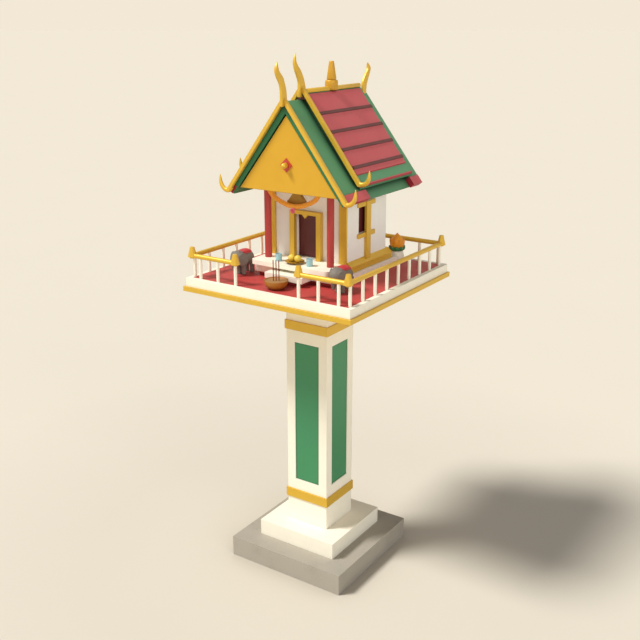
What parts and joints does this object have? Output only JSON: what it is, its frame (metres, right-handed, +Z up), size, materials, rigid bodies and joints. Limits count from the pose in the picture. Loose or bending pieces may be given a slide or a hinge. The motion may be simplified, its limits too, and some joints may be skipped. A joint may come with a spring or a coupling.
{
  "type": "spirit house",
  "caption": "Small gable-roofed shrine on a square pillar, with a railed deck, hinged door, porch, garland and offerings.",
  "frame": {"origin": "centre of the foundation slab's underside, on the ground", "axes": "+Z up; the front with the door and the gate faces -Y; +X is the house's right-hand side as seen from the front"},
  "size_m": [0.92, 0.92, 2.51],
  "materials": {
    "grey_concrete": "rough",
    "white_plaster": "matte",
    "wall_plaster": "matte",
    "gold_paint": "gloss",
    "olive_gold_paint": "satin",
    "green_paint": "satin",
    "roof_green": "satin",
    "roof_red": "satin",
    "red_paint": "satin",
    "floor_red": "matte",
    "maroon_paint": "satin",
    "gable_yellow": "satin",
    "marigold": "matte",
    "elephant_grey": "matte",
    "saddle_red": "matte",
    "cup_glaze": "gloss",
    "fruit_yellow": "satin",
    "brass": "satin",
    "ash": "rough",
    "incense_red": "matte",
    "hinge_steel": "satin"
  },
  "bodies": {
    "house": {"balusters_front_left": "white_plaster", "balusters_front_right": "white_plaster", "balusters_left": "white_plaster", "balusters_rear": "white_plaster", "balusters_right": "white_plaster", "barge_boards": "gold_paint", "base_tier": "white_plaster", "ceiling": "wall_plaster", "corner_posts": "gold_paint", "deck_floor": "floor_red", "deck_slab": "white_plaster", "deck_trim": "gold_paint", "door_frame": "gold_paint", "door_hinges": "hinge_steel", "eave_strips": "roof_red", "elephant_saddles": "saddle_red", "elephants": "elephant_grey", "entrance_step": "white_plaster", "flower_vases": "white_plaster", "foundation_slab": "grey_concrete", "front_wall_over_door": "wall_plaster", "front_wall_sides": "wall_plaster", "gable_boards": "gable_yellow", "gable_gem": "saddle_red", "garland": "marigold", "green_panels": "green_paint", "handrails": "gold_paint", "incense_ash": "ash", "incense_bowl": "brass", "incense_sticks": "incense_red", "lower_roof_left": "roof_green", "lower_roof_right": "roof_green", "offering_cups": "cup_glaze", "offering_dish": "brass", "offering_fruits": "fruit_yellow", "pillar": "white_plaster", "pillar_bands": "gold_paint", "plinth_step": "white_plaster", "porch_columns": "red_paint", "porch_crest": "olive_gold_paint", "porch_slab": "white_plaster", "rail_finials": "gold_paint", "rear_moulding": "gold_paint", "rear_wall": "wall_plaster", "red_plinth": "red_paint", "ridge_bar": "gold_paint", "roof_finials": "gold_paint", "side_mouldings": "gold_paint", "side_walls": "wall_plaster", "tile_fields": "roof_red", "upper_roof_left": "roof_green", "upper_roof_right": "roof_green", "vase_flowers": "marigold", "window_frames": "gold_paint", "window_panels": "maroon_paint"},
    "door": {"door_leaf": "maroon_paint"}
  },
  "joints": [
    {"name": "door_hinge", "type": "hinge", "parent": "house", "child": "door", "pos_m": [-0.0785, -0.0729, 1.69], "axis": [0, 0, 1], "range_deg": [0, 90]}
  ]
}
